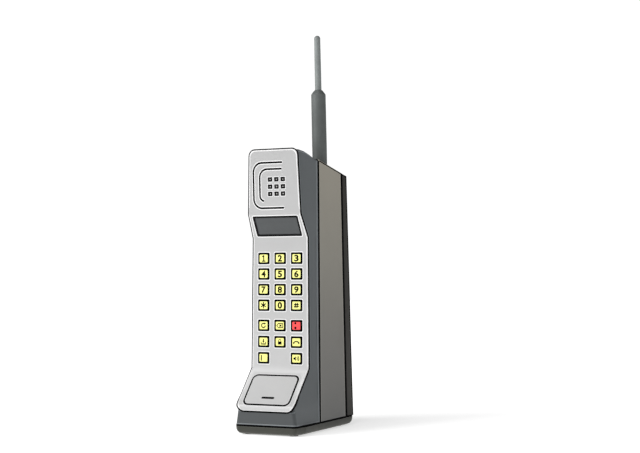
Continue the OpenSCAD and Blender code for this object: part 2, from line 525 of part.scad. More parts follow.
front_shell();
rear_shell();
faceplate();
mouthpiece_cover();
earpiece_grille();
earpiece_gasket();
earpiece_speaker();
display_window();
display_module();
keypad_seal();
keypad_board();
dome_contacts();
ribbon_cable();
microphone_boot();
microphone_capsule();
chassis_frame();
logic_board();
logic_chips();
radio_board();
radio_shield();
duplexer_filter();
ringer();
antenna_bushing();
antenna_lead();
battery_terminals();
case_screws();
base_cap();
base_feet();
base_screws();
charge_jack();
charge_contacts();
battery_case();
battery_cover();
battery_cells();
battery_contacts();
battery_latch();
latch_spring();
antenna_sleeve();
antenna_whip();
antenna_stud();
key_1();
key_2();
key_3();
key_4();
key_5();
key_6();
key_7();
key_8();
key_9();
key_star();
key_0();
key_hash();
key_recall();
key_clear();
key_send();
key_store();
key_lock();
key_end();
key_power();
key_volume();
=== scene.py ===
import json
import math

import bmesh
import bpy
from mathutils import Matrix, Vector


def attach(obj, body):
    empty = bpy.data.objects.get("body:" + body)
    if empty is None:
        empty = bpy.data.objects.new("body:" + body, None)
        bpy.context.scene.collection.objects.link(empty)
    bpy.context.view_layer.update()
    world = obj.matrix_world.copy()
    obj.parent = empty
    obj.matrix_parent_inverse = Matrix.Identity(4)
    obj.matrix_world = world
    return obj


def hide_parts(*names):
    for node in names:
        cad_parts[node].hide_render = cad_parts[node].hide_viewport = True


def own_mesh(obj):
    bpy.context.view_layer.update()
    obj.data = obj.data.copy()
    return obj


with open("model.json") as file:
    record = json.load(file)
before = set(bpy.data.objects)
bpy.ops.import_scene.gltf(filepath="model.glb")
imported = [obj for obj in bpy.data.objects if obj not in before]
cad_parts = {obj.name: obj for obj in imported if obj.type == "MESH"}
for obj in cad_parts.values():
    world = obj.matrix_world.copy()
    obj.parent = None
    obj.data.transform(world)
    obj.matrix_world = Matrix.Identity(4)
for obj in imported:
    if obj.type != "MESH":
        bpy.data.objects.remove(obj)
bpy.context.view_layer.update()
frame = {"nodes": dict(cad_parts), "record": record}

MM = 0.001
N = frame["nodes"]


def lin(r, g, b):
    """sRGB 0-255 to linear."""
    return tuple((c / 255 / 12.92) if c <= 10.3 else ((c / 255 + 0.055) / 1.055) ** 2.4 for c in (r, g, b))


# ------------------------------------------------------------------ camera
def make_camera():
    az, el, roll = (math.radians(v) for v in (29.557, 0.127, -1.216))
    dist, f, tx, tz = 1386.672, 1657.634, 29.571, 171.159
    back = Vector((math.sin(az) * math.cos(el), -math.cos(az) * math.cos(el), math.sin(el)))
    fwd = -back
    right = fwd.cross(Vector((0, 0, 1))).normalized()
    up = right.cross(fwd)
    r2 = math.cos(roll) * right + math.sin(roll) * up
    u2 = -math.sin(roll) * right + math.cos(roll) * up
    loc = (Vector((tx, 0, tz)) + back * dist) * MM
    cam = bpy.data.cameras.new("camera")
    cam.sensor_width = 36
    cam.lens = f / 640 * 36
    cam.clip_start = 0.05
    cam.clip_end = 60
    ob = bpy.data.objects.new("camera", cam)
    bpy.context.collection.objects.link(ob)
    m = Matrix((
        (r2.x, u2.x, -fwd.x, loc.x),
        (r2.y, u2.y, -fwd.y, loc.y),
        (r2.z, u2.z, -fwd.z, loc.z),
        (0, 0, 0, 1)))
    ob.matrix_world = m
    bpy.context.scene.camera = ob
    return ob


make_camera()


# ------------------------------------------------------------------ materials
class Nodes:
    def __init__(self, name):
        self.m = bpy.data.materials.new(name)
        self.m.use_nodes = True
        self.t = self.m.node_tree
        self.t.nodes.clear()
        self.out = self.t.nodes.new("ShaderNodeOutputMaterial")
        self.bsdf = self.t.nodes.new("ShaderNodeBsdfPrincipled")
        self.t.links.new(self.bsdf.outputs[0], self.out.inputs["Surface"])
        self.coord = self.t.nodes.new("ShaderNodeTexCoord").outputs["Object"]

    def link(self, a, b):
        self.t.links.new(a, b)

    def noise(self, scale, detail=2.0, rough=0.5, vector=None, distortion=0.0):
        n = self.t.nodes.new("ShaderNodeTexNoise")
        n.inputs["Scale"].default_value = scale
        n.inputs["Detail"].default_value = detail
        n.inputs["Roughness"].default_value = rough
        n.inputs["Distortion"].default_value = distortion
        self.link(vector or self.coord, n.inputs["Vector"])
        return n.outputs["Fac"]

    def stretched(self, sx, sy, sz):
        n = self.t.nodes.new("ShaderNodeMapping")
        n.inputs["Scale"].default_value = (sx, sy, sz)
        self.link(self.coord, n.inputs["Vector"])
        return n.outputs[0]

    def ramp(self, fac, stops):
        n = self.t.nodes.new("ShaderNodeValToRGB")
        e = n.color_ramp.elements
        while len(e) < len(stops):
            e.new(0.5)
        for el, (p, c) in zip(e, stops):
            el.position = p
            el.color = (*c, 1) if len(c) == 3 else c
        self.link(fac, n.inputs[0])
        return n.outputs[0]

    def span(self, fac, a, b, lo, hi, clamp=True):
        n = self.t.nodes.new("ShaderNodeMapRange")
        n.clamp = clamp
        for i, v in enumerate((a, b, lo, hi)):
            n.inputs[1 + i].default_value = v
        self.link(fac, n.inputs[0])
        return n.outputs[0]

    def mix(self, fac, a, b, mode="MIX"):
        n = self.t.nodes.new("ShaderNodeMix")
        n.data_type = "RGBA"
        n.blend_type = mode
        n.clamp_factor = True
        for sock, v in ((n.inputs[0], fac), (n.inputs[6], a), (n.inputs[7], b)):
            if hasattr(v, "is_linked") or hasattr(v, "links"):
                self.link(v, sock)
            elif isinstance(v, (int, float)):
                sock.default_value = v
            else:
                sock.default_value = (*v, 1)
        return n.outputs[2]

    def math(self, op, a, b):
        n = self.t.nodes.new("ShaderNodeMath")
        n.operation = op
        for sock, v in ((n.inputs[0], a), (n.inputs[1], b)):
            if isinstance(v, (int, float)):
                sock.default_value = v
            else:
                self.link(v, sock)
        return n.outputs[0]

    def axis(self, which):
        n = self.t.nodes.new("ShaderNodeSeparateXYZ")
        self.link(self.coord, n.inputs[0])
        return n.outputs[which]

    def bump(self, height, dist, strength=1.0, normal=None):
        n = self.t.nodes.new("ShaderNodeBump")
        n.inputs["Distance"].default_value = dist
        n.inputs["Strength"].default_value = strength
        self.link(height, n.inputs["Height"])
        if normal is not None:
            self.link(normal, n.inputs["Normal"])
        self.link(n.outputs[0], self.bsdf.inputs["Normal"])
        return n.outputs[0]

    def set(self, **kw):
        for k, v in kw.items():
            self.bsdf.inputs[k.replace("_", " ")].default_value = v


def tint(c, k):
    return tuple(min(1.0, v * k) for v in c)


EDGES = {}


def plastic(name, col, rough=0.45, spec=0.5, mottle=0.04, grain=1.0, grain_scale=2400, highlight_col=None, gradient=None, coat=0.0, highlight_copy=False, chin_shade=0.0):
    """Moulded plastic: fine spark-eroded grain, faint flow mottling and handled patches. Its rounded edges get a
    second, lighter copy as a painted highlight, and an optional colour ramp up its height paints light and shade.
    """
    # the lighter copy made here for rounded edges is a painted highlight
    if highlight_col and not highlight_copy:
        EDGES[name] = plastic(name + "_edge", col, rough - 0.08, spec, mottle, grain * 0.4, grain_scale, highlight_col, gradient, coat, True, chin_shade)
    k = Nodes(name)
    base = None
    # a colour ramp up the height: painted light and shade
    if gradient:
        base = k.ramp(k.span(k.axis(2), gradient[0], gradient[1], 0, 1), gradient[2])
        dark = k.mix(1.0, base, (1 - 2 * mottle,) * 3, "MULTIPLY")
        light = k.mix(1.0, base, (1 + mottle,) * 3, "MULTIPLY")
    else:
        dark, light = tint(col, 1 - 1.6 * mottle), tint(col, 1 + mottle)
    blotch = k.span(k.noise(38, 5, 0.6), 0.32, 0.68, 0, 1)
    c = k.mix(blotch, dark, light)
    # the chin's front face is painted darker: painted shade
    if chin_shade:
        c = k.mix(k.span(k.axis(1), -0.0455, -0.0432, 1.0, 0.0), c, tint(col, chin_shade))
    speck = k.span(k.noise(1500, 1, 0.5), 0.62, 0.75, 0, 1)
    c = k.mix(k.math("MULTIPLY", speck, 0.06), c, tint(col, 0.72))
    # the edge copy mixes in the lighter edge colour, mottled by noise: a painted highlight
    if highlight_copy:
        c = k.mix(k.span(k.noise(260, 3, 0.6), 0.30, 0.62, 0.45, 1.0), c, highlight_col)
    k.link(c, k.bsdf.inputs["Base Color"])
    handled = k.noise(14, 4, 0.55)
    k.link(k.span(handled, 0.3, 0.7, rough + 0.05, rough - 0.06), k.bsdf.inputs["Roughness"])
    g = k.math("ADD", k.noise(grain_scale, 3, 0.6), k.math("MULTIPLY", k.noise(grain_scale * 0.31, 2), 0.6))
    k.bump(g, 0.00005 * grain, 0.55)
    k.set(Specular_IOR_Level=spec)
    if coat:
        k.set(Coat_Weight=coat, Coat_Roughness=0.12)
    return k.m


def rubber(name, col, rough=0.72, grain=1.0, spec=0.42):
    k = Nodes(name)
    c = k.mix(k.span(k.noise(60, 4, 0.6), 0.3, 0.7, 0, 1), tint(col, 0.86), tint(col, 1.12))
    dust = k.span(k.noise(420, 3, 0.65), 0.58, 0.8, 0, 0.22)
    c = k.mix(dust, c, tint(col, 1.9))
    k.link(c, k.bsdf.inputs["Base Color"])
    k.link(k.span(k.noise(90, 3), 0.3, 0.7, rough - 0.06, rough + 0.08), k.bsdf.inputs["Roughness"])
    k.bump(k.noise(1800, 2), 0.00004 * grain, 0.5)
    k.set(Specular_IOR_Level=spec)
    return k.m


def metal(name, col, rough=0.3, brushed=(1, 1, 1), tarnish=0.12):
    k = Nodes(name)
    v = k.stretched(*brushed)
    streak = k.noise(900, 3, 0.6, v)
    c = k.mix(k.span(k.noise(120, 4, 0.6), 0.35, 0.75, 0, 1), col, tint(col, 1 - 2 * tarnish))
    k.link(c, k.bsdf.inputs["Base Color"])
    k.link(k.span(streak, 0.25, 0.75, rough - 0.08, rough + 0.12), k.bsdf.inputs["Roughness"])
    k.bump(streak, 0.00002, 0.4)
    k.set(Metallic=1.0)
    return k.m


# Each material's edge colour below is a painted highlight for its rounded edges.
PLATE = lin(204, 204, 204)
SHELL = lin(95, 99, 101)
# the faceplate is painted darker towards the top: painted shade so it reads evenly lit under the lamps
PLATE_PAINTED_SHADE_RAMP = [(0.0, tint(PLATE, 0.92)), (0.14, tint(PLATE, 0.92)), (0.165, tint(PLATE, 0.87)), (0.40, tint(PLATE, 0.775)), (1.0, tint(PLATE, 0.69))]
plate_mat = plastic("plate_grey", PLATE, rough=0.40, spec=0.45, mottle=0.010, grain=0.7, highlight_col=(0.90, 0.90, 0.90), gradient=(0.020, 0.236, PLATE_PAINTED_SHADE_RAMP))
cover_mat = plastic("cover_grey", tint(PLATE, 0.92), rough=0.38, spec=0.45, mottle=0.012, grain=0.7, highlight_col=(0.95, 0.95, 0.95))
# pale lip colour: a painted highlight
highlight_lip_mat = plastic("plate_lip_painted_highlight", lin(232, 232, 232), rough=0.36, spec=0.5, mottle=0.02, grain=0.5)
# the front shell's chin is painted darker, as shade
front_mat = plastic("shell_blue_grey", tint(SHELL, 1.15), rough=0.50, spec=0.35, mottle=0.012, grain=1.6, highlight_col=lin(150, 156, 160), chin_shade=0.53)
# the rear shell is painted lighter towards the top and darker low down: painted light and shade
REAR_PAINTED_LIGHT_RAMP = [(0.0, lin(115, 115, 113)), (0.30, lin(125, 123, 118)), (0.62, lin(146, 143, 134)), (1.0, lin(163, 158, 146))]
rear_mat = plastic("shell_beige_grey", lin(150, 146, 137), rough=0.52, spec=0.35, mottle=0.012, grain=1.8, highlight_col=lin(182, 178, 164),
                   gradient=(0.010, 0.225, REAR_PAINTED_LIGHT_RAMP))
pack_mat = plastic("pack_dark", lin(40, 38, 33), rough=0.55, spec=0.35, mottle=0.025, grain=2.0, highlight_col=lin(96, 94, 88))
base_mat = plastic("base_dark", lin(57, 58, 51), rough=0.50, spec=0.38, mottle=0.02, grain=1.6, highlight_col=lin(120, 122, 114))
key_mat = plastic("key_yellow", (0.985, 0.955, 0.285), rough=0.36, spec=0.45, mottle=0.02, grain=0.5, highlight_col=(1.0, 0.97, 0.55))
red_mat = plastic("key_red", (0.98, 0.062, 0.062), rough=0.36, spec=0.45, mottle=0.02, grain=0.5, highlight_col=(1.0, 0.30, 0.28))
# pale strip colours: painted highlights, the beige one also painted lighter towards the top
highlight_strip_mat = plastic("shell_edge_painted_highlight", lin(128, 133, 136), rough=0.44, spec=0.35, mottle=0.05, grain=0.8)
highlight_strip_beige = plastic("beige_edge_painted_highlight", lin(168, 164, 152), rough=0.46, spec=0.35, mottle=0.05, grain=0.8,
                     gradient=(0.010, 0.225, [(0.0, lin(142, 141, 137)), (1.0, lin(182, 178, 166))]))
mesh_mat = plastic("grille_pale", lin(196, 196, 192), rough=0.5, mottle=0.03, grain=1.0)
black_rubber = rubber("rubber_black", (0.005, 0.005, 0.0055), spec=0.12)
seam_mat = rubber("seam_black", (0.002, 0.002, 0.0022), rough=0.9, grain=0.5, spec=0.03)
skirt_mat = rubber("key_skirt", (0.003, 0.003, 0.003), rough=0.85, grain=0.5, spec=0.06)
foot_mat = rubber("rubber_foot", (0.018, 0.018, 0.018), rough=0.8, grain=3)
sleeve_mat = rubber("antenna_rubber", lin(95, 99, 98), rough=0.50, grain=1.5)
whip_mat = rubber("antenna_sheath", lin(132, 137, 136), rough=0.46, grain=1.0)
# black ink of the key legends; the same material darkens the earpiece grooves as painted shade
ink_and_groove_shade = rubber("legend_ink_and_groove_shade", (0.002, 0.002, 0.002), rough=0.8, grain=0.4, spec=0.03)
black_plastic = plastic("plastic_black", (0.012, 0.012, 0.013), rough=0.42, mottle=0.08, grain=1.2, highlight_col=(0.05, 0.05, 0.05))
latch_mat = plastic("latch_black", (0.020, 0.020, 0.020), rough=0.45, mottle=0.08, grain=1.4, highlight_col=(0.09, 0.09, 0.09))
steel = metal("steel_zinc", (0.62, 0.62, 0.63), 0.32)
tin = metal("tin_plate", (0.70, 0.71, 0.72), 0.36, (1, 1, 8))
alu = metal("aluminium_bare", (0.72, 0.73, 0.74), 0.38, (1, 1, 10))
brass = metal("brass_bare", (0.72, 0.55, 0.24), 0.30)
gold = metal("gold_plate", (0.90, 0.66, 0.28), 0.24)


def window_material():
    """Smoked display window: polished, slightly see-through, faint fingerprints."""
    k = Nodes("window_smoked")
    smear = k.span(k.noise(55, 6, 0.7), 0.35, 0.7, 0, 1)
    c = k.mix(smear, tint(SHELL, 0.56), tint(SHELL, 0.62))
    k.link(c, k.bsdf.inputs["Base Color"])
    k.link(k.span(k.noise(160, 5, 0.7), 0.4, 0.75, 0.10, 0.22), k.bsdf.inputs["Roughness"])
    k.bump(k.noise(30, 2), 0.00004, 0.25)
    k.set(Specular_IOR_Level=0.5, Transmission_Weight=0.25, IOR=1.49)
    return k.m


window_mat = window_material()


def board_material():
    k = Nodes("board_green")
    c = k.mix(k.span(k.noise(300, 1, 0.3), 0.47, 0.53, 0, 1), (0.018, 0.10, 0.035), (0.030, 0.15, 0.055))
    k.link(c, k.bsdf.inputs["Base Color"])
    k.link(k.span(k.noise(500, 2), 0.3, 0.7, 0.28, 0.42), k.bsdf.inputs["Roughness"])
    k.bump(k.noise(700, 2), 0.00003, 0.5)
    return k.m


board_mat = board_material()
cell_mat = plastic("cell_sleeve", (0.06, 0.16, 0.07), rough=0.3, mottle=0.05, grain=0.5)
ribbon_mat = plastic("ribbon_film", (0.55, 0.36, 0.12), rough=0.3, mottle=0.05, grain=0.4)

SLOT_MATS = {
    "front_plastic": front_mat, "rear_plastic": rear_mat, "plate_plastic": plate_mat, "window_plastic": window_mat, "pack_plastic": pack_mat,
    "base_plastic": base_mat, "key_plastic": key_mat, "red_key_plastic": red_mat, "black_rubber": black_rubber, "black_plastic": black_plastic,
    "antenna_rubber": sleeve_mat, "antenna_whip_cover": whip_mat, "mesh_plastic": mesh_mat, "board": board_mat, "aluminium": alu,
    "tinned_steel": tin, "screw_steel": steel, "gold_contact": gold, "brass": brass, "cell_jacket": cell_mat, "ribbon": ribbon_mat}
slot_of = {s["node"]: s["material_slot"] for s in frame["record"]["subparts"]}
for name, ob in N.items():
    m = SLOT_MATS[slot_of[name]]
    if name == "mouthpiece_cover":
        m = cover_mat
    if name == "base_feet":
        m = foot_mat
    if name == "battery_latch":
        m = latch_mat
    for s in ob.material_slots:
        s.material = m


# ------------------------------------------------------------------ helpers
def add(name, verts, faces, mat, body, smooth=35):
    me = bpy.data.meshes.new(name)
    me.from_pydata([tuple(v) for v in verts], [], faces)
    me.validate()
    bm = bmesh.new()
    bm.from_mesh(me)
    bmesh.ops.recalc_face_normals(bm, faces=bm.faces)
    bm.to_mesh(me)
    bm.free()
    me.materials.append(mat)
    if smooth:
        me.polygons.foreach_set("use_smooth", [True] * len(me.polygons))
        me.set_sharp_from_angle(angle=math.radians(smooth))
    ob = bpy.data.objects.new(name, me)
    bpy.context.collection.objects.link(ob)
    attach(ob, body)
    return ob


def skin(node, width, body, seg=2, angle=28, mat=None, suffix="_moulded", soft_folds=0.0):
    """The CAD node's own solid with its edges rounded, in place of it."""
    src = N[node]
    bm = bmesh.new()
    bm.from_mesh(src.data)
    bmesh.ops.remove_doubles(bm, verts=bm.verts, dist=2e-6)
    inner = {f for f in bm.faces if abs(f.normal.x) > 0.99 and max(abs(v.co.x) for v in f.verts) < 25.6 * MM} if node == "front_shell" else set()
    keep = {e for f in inner for e in f.edges}
    edges = [e for e in bm.edges if e not in keep]
    bmesh.ops.dissolve_limit(bm, angle_limit=math.radians(0.6), verts=list({v for e in edges for v in e.verts} - {v for e in keep for v in e.verts}), edges=edges)
    bmesh.ops.recalc_face_normals(bm, faces=bm.faces)
    lim = math.radians(angle)
    if soft_folds:
        lim = math.radians(54)
    slim = set() if soft_folds else {f for f in bm.faces if f.calc_area() < 0.35 * MM * max(e.calc_length() for e in f.edges)}
    keep = {e for e in bm.edges if any(abs(f.normal.x) > 0.99 and max(abs(v.co.x) for v in f.verts) < 25.6 * MM for f in e.link_faces)} if inner else set()
    edges = [e for e in bm.edges if len(e.link_faces) == 2 and e.calc_face_angle(0) > lim and (soft_folds or e.calc_length() > 0.2 * MM)
             and e.link_faces[0] not in slim and e.link_faces[1] not in slim and e not in keep]
    made = bmesh.ops.bevel(bm, geom=edges, offset=width * MM, offset_type="OFFSET", segments=seg, profile=0.6, affect="EDGES",
                           clamp_overlap=False, harden_normals=False, loop_slide=True)
    main = mat or src.material_slots[0].material
    # the bevel faces take the lighter copy: a painted highlight on the rounded edges
    edge = EDGES.get(main.name)
    if edge:
        for f in made["faces"]:
            f.material_index = 1
    bmesh.ops.remove_doubles(bm, verts=bm.verts, dist=2e-6)
    me = bpy.data.meshes.new(node + suffix)
    bm.to_mesh(me)
    bm.free()
    me.polygons.foreach_set("use_smooth", [True] * len(me.polygons))
    me.set_sharp_from_angle(angle=math.radians(48))
    me.materials.append(main)
    if edge:
        me.materials.append(edge)
    ob = bpy.data.objects.new(node + suffix, me)
    bpy.context.collection.objects.link(ob)
    w = ob.modifiers.new("even_normals", "WEIGHTED_NORMAL")
    w.keep_sharp = True
    w.weight = 60
    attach(ob, body)
    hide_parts(node)
    return ob


def arc(cx, cy, r, a0, a1, n):
    return [(cx + r * math.cos(math.radians(a0 + (a1 - a0) * i / n)), cy + r * math.sin(math.radians(a0 + (a1 - a0) * i / n))) for i in range(n + 1)]


def rrect(w, h, r, n=6):
    return (arc(w / 2 - r, h / 2 - r, r, 0, 90, n) + arc(-w / 2 + r, h / 2 - r, r, 90, 180, n)
            + arc(-w / 2 + r, -h / 2 + r, r, 180, 270, n) + arc(w / 2 - r, -h / 2 + r, r, 270, 360, n))


class Face:
    """A flat face of the phone: x across, d into the phone, s up the face, in millimetres."""

    def __init__(self, y, z, tilt):
        self.o = Vector((0, y, z))
        a = math.radians(tilt)
        self.d = Vector((0, math.cos(a), math.sin(a)))
        self.s = Vector((0, -math.sin(a), math.cos(a)))

    def at(self, x, s, d=0.0):
        return (self.o + Vector((x, 0, 0)) + self.s * s + self.d * d) * MM


LIP, KEY_LO, KEY_HI, EAR_LO = (-46.5, 24.3), (-20.56, 53.7), (-15.65, 162.0), (-24.7, 182.4)
keys_face = Face(-18.1, 108, -2.6)
disp_face = Face((KEY_HI[0] + EAR_LO[0]) / 2, (KEY_HI[1] + EAR_LO[1]) / 2, math.degrees(math.atan2(KEY_HI[0] - EAR_LO[0], EAR_LO[1] - KEY_HI[1])))
mouth_face = Face((LIP[0] + KEY_LO[0]) / 2, (LIP[1] + KEY_LO[1]) / 2, -(90 - math.degrees(math.atan2(KEY_LO[1] - LIP[1], KEY_LO[0] - LIP[0]))))
ear_face = Face(-24.7, 0, 0)


def ribbon_loop(name, face, outer, inner, d0, d1, mat, body, closed=True):
    """A flat band between two outlines with the same number of points, from depth d0 to d1."""
    n = len(outer)
    vs = [face.at(x, s, d0) for x, s in outer] + [face.at(x, s, d0) for x, s in inner] \
        + [face.at(x, s, d1) for x, s in outer] + [face.at(x, s, d1) for x, s in inner]
    fs = []
    m = n if closed else n - 1
    for i in range(m):
        j = (i + 1) % n
        fs += [(i, j, n + j, n + i), (2 * n + i, 3 * n + i, 3 * n + j, 2 * n + j), (i, 2 * n + i, 2 * n + j, j), (n + i, n + j, 3 * n + j, 3 * n + i)]
    if not closed:
        fs += [(0, n, 3 * n, 2 * n), (n - 1, 3 * n - 1, 4 * n - 1, 2 * n - 1)]
    return add(name, vs, fs, mat, body)


def stroke_sides(P, w):
    out = []
    n = len(P) - 1
    for sgn in (1, -1):
        side = []
        for i, p in enumerate(P):
            a = Vector(P[max(i - 1, 0)])
            b = Vector(P[min(i + 1, n)])
            t = (b - a).normalized()
            side.append((p[0] - t.y * w / 2 * sgn, p[1] + t.x * w / 2 * sgn))
        out.append(side)
    return out


def tube(name, pts, r, mat, body, slot, closed=False, sides=8):
    """A round strip along points in metres."""
    n = len(pts)
    vs, fs = [], []
    prev = None
    for i, p in enumerate(pts):
        a = pts[(i - 1) % n] if closed or i else pts[i]
        b = pts[(i + 1) % n] if closed or i < n - 1 else pts[i]
        t = (b - a).normalized()
        ref = prev if prev is not None else (Vector((1, 0, 0)) if abs(t.x) < 0.8 else Vector((0, 1, 0)))
        u = (ref - t * ref.dot(t)).normalized()
        prev = u
        v = t.cross(u)
        vs += [p + (u * math.cos(2 * math.pi * j / sides) + v * math.sin(2 * math.pi * j / sides)) * r for j in range(sides)]
    m = n if closed else n - 1
    for i in range(m):
        k = (i + 1) % n
        for j in range(sides):
            l = (j + 1) % sides
            fs.append((i * sides + j, i * sides + l, k * sides + l, k * sides + j))
    if not closed:
        fs += [tuple(range(sides))[::-1], tuple(range((n - 1) * sides, n * sides))]
    return add(name, vs, fs, mat, body)


# ------------------------------------------------------------------ housings
skin("faceplate", 0.42, "handset", seg=3, soft_folds=0.8)
skin("mouthpiece_cover", 0.40, "handset", seg=3, mat=cover_mat)
skin("front_shell", 0.45, "handset", seg=2)
skin("rear_shell", 0.45, "handset", seg=2)
skin("base_cap", 0.40, "handset", seg=2)
skin("battery_case", 0.45, "battery_pack", seg=2)
skin("battery_cover", 0.30, "battery_pack", seg=2)
skin("battery_latch", 0.22, "battery_catch", seg=2, mat=latch_mat)


def spring_coil():
    """The latch spring: its foot stays on the battery case."""
    src = N["latch_spring"]
    me = src.data.copy()
    me.name = "latch_spring_coil"
    me.materials.clear()
    me.materials.append(src.material_slots[0].material)
    ob = bpy.data.objects.new("latch_spring_coil", me)
    bpy.context.collection.objects.link(ob)
    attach(ob, "battery_pack")
    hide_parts("latch_spring")
    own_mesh(ob)


spring_coil()
skin("display_window", 0.25, "handset", seg=3, mat=window_mat)
skin("charge_jack", 0.20, "handset", seg=2)

# ------------------------------------------------------------------ seams
half_w = 31.0
y_pack = 36.3


def lookup(t, v):
    if v <= t[0][0]:
        return t[0][1]
    for (a, ha), (b, hb) in zip(t, t[1:]):
        if v <= b:
            return ha + (hb - ha) * (v - a) / (b - a)
    return t[-1][1]


def plate_hw(z):
    return lookup([(7.6, 29.5), (20.4, 27.4), (24.3, 27.0), (53.7, 27.3), (162, 26.3), (182.4, 24.9), (236, 23)], z)


def top_z(y):
    return lookup([(-24.7, 236), (-19.5, 235.7), (-15.5, 234.4), (-11, 231.8), (-5.8, 228.1), (36.3, 216.4), (45.7, 213.9)], y)


def part_y(z):
    return -9.0 + 6.2 * (z - 7.6) / 219.6


def back_y(z):
    return 49 - 3.3 * (z - 7.6) / 206.3


def inset_profile(P, d):
    out = []
    n = len(P) - 1

    def inward(a, b):
        t = (Vector(b) - Vector(a)).normalized()
        return Vector((t.y, -t.x))

    for i, p in enumerate(P):
        p = Vector(p)
        if i == 0:
            out.append(p + inward(P[0], P[1]) * d)
        elif i == n:
            out.append(p + inward(P[n - 1], P[n]) * d)
        else:
            n1, n2 = inward(P[i - 1], P[i]), inward(P[i], P[i + 1])
            out.append(p + (n1 + n2) * (d / (1 + n1.dot(n2))))
    return out


lip_turn = 90 - math.degrees(math.atan2(KEY_LO[1] - LIP[1], KEY_LO[0] - LIP[0]))
lip_cut = 5 * math.tan(math.radians(lip_turn / 2))
lip_arc = [(LIP[0] + 5 + 5 * math.cos(math.radians(180 - lip_turn * i / 3)), LIP[1] - lip_cut + 5 * math.sin(math.radians(180 - lip_turn * i / 3))) for i in range(4)]
front_line = [(-46.5, 20.4)] + lip_arc + [KEY_LO, KEY_HI, EAR_LO, (-24.7, 236.0)]


def front_y(z, d):
    """Depth of the faceplate's front at height z, moved inward by d."""
    P = inset_profile(front_line, d)
    for a, b in zip(P, P[1:]):
        if min(a.y, b.y) - 1e-6 <= z <= max(a.y, b.y) + 1e-6 and abs(b.y - a.y) > 1e-9:
            return a.x + (b.x - a.x) * (z - a.y) / (b.y - a.y)
    return P[-1].x if z > 100 else P[0].x


def half_outline():
    """Right half of the faceplate's outline, from the middle of the bottom to the middle of the top."""
    P = [(0.0, 20.4), (10.0, 20.4)] + arc(20.4, 27.4, 7, -90, 0, 8)
    P += [(plate_hw(z), z) for z in (34, 42, 50, 53.7, 58, 90, 120, 150, 162, 168, 175, 182.4, 190, 210, 225, 231)]
    P += arc(plate_hw(231) - 5, 231, 5, 0, 90, 6)[1:] + [(9.0, 236.0), (0.0, 236.0)]
    return P


def swept_band(name, outline, t_of, d0_of, t1_of, d1, mat, closed=True):
    """A strip against the faceplate's edge: thickness t outward, from depth d0 to d1."""
    n = len(outline)
    vs = []
    for i, (x, z) in enumerate(outline):
        a, b = Vector(outline[(i - 1) % n]), Vector(outline[(i + 1) % n])
        t = (b - a).normalized()
        nx, nz = t.y, -t.x
        th = t_of(z)
        xo, zo = x + nx * th, z + nz * th
        xb, zb = x + nx * t1_of(z), z + nz * t1_of(z)
        xi, zi = x - nx * 0.12, z - nz * 0.12
        for px, pz, d in ((xi, zi, d0_of(z)), (xo, zo, d0_of(z)), (xb, zb, d1), (xi, zi, d1)):
            vs.append(Vector((px, front_y(min(max(pz, 20.4), 236.0), d), pz)) * MM)
    fs = []
    for i in range(n if closed else n - 1):
        a, b = 4 * i, 4 * ((i + 1) % n)
        for k in range(4):
            l = (k + 1) % 4
            fs.append((a + k, b + k, b + l, a + l))
    return add(name, vs, fs, mat, "handset", smooth=30)


R = half_outline()
loop = R + [(-x, z) for x, z in reversed(R[1:-1])]
swept_band("plate_gasket", loop, lambda z: lookup([(20.4, 1.25), (30, 1.0)], z), lambda z: lookup([(20.4, 0.2), (30, 0.34)], z),
           lambda z: lookup([(20.4, 1.2), (30, 0.42)], z), 2.02, seam_mat)
# pale lips, a painted highlight: round the plate's edge, the display, the mouthpiece, the sound holes and grooves
inner_loop = [(x * (plate_hw(z) - 0.95) / plate_hw(z), 20.4 + 0.95 + (z - 20.4) * (215.6 - 1.9) / 215.6) for x, z in loop]


def face_strip(name, outer, inner, d0, d1, mat, body):
    """A flat strip on the folded faceplate between two closed outlines."""
    n = len(outer)
    vs = []
    for d in (d0, d1):
        for P in (outer, inner):
            vs += [Vector((x, max(front_y(min(max(z, 20.4), 236.0), d), -46.49), z)) * MM for x, z in P]
    fs = []
    for i in range(n):
        j = (i + 1) % n
        fs += [(i, j, n + j, n + i), (2 * n + i, 3 * n + i, 3 * n + j, 2 * n + j), (i, 2 * n + i, 2 * n + j, j), (n + i, n + j, 3 * n + j, 3 * n + i)]
    return add(name, vs, fs, mat, body, smooth=30)


edge_loop = [(x * (plate_hw(z) - 0.30) / plate_hw(z), 20.4 + 0.30 + (z - 20.4) * (215.6 - 0.6) / 215.6) for x, z in loop]
face_strip("plate_edge_lip", edge_loop, inner_loop, -0.04, 0.4, highlight_lip_mat, "handset")
ribbon_loop("display_lip", disp_face, rrect(45.6, 20.4, 2.0), rrect(43.7, 18.5, 1.1), -0.04, 0.3, highlight_lip_mat, "handset")
ribbon_loop("mouthpiece_lip", mouth_face, [(x, s - 3.1) for x, s in rrect(46.8, 32.8, 6.0)], [(x, s - 3.1) for x, s in rrect(44.9, 30.9, 5.1)], -0.05, 0.3, highlight_lip_mat, "handset")


def wall_x(z, y):
    yf = front_y(min(max(z, 20.4), 236), 2.0)
    h = plate_hw(z)
    return h + (half_w - h) * (y - yf) / (part_y(z) - yf)


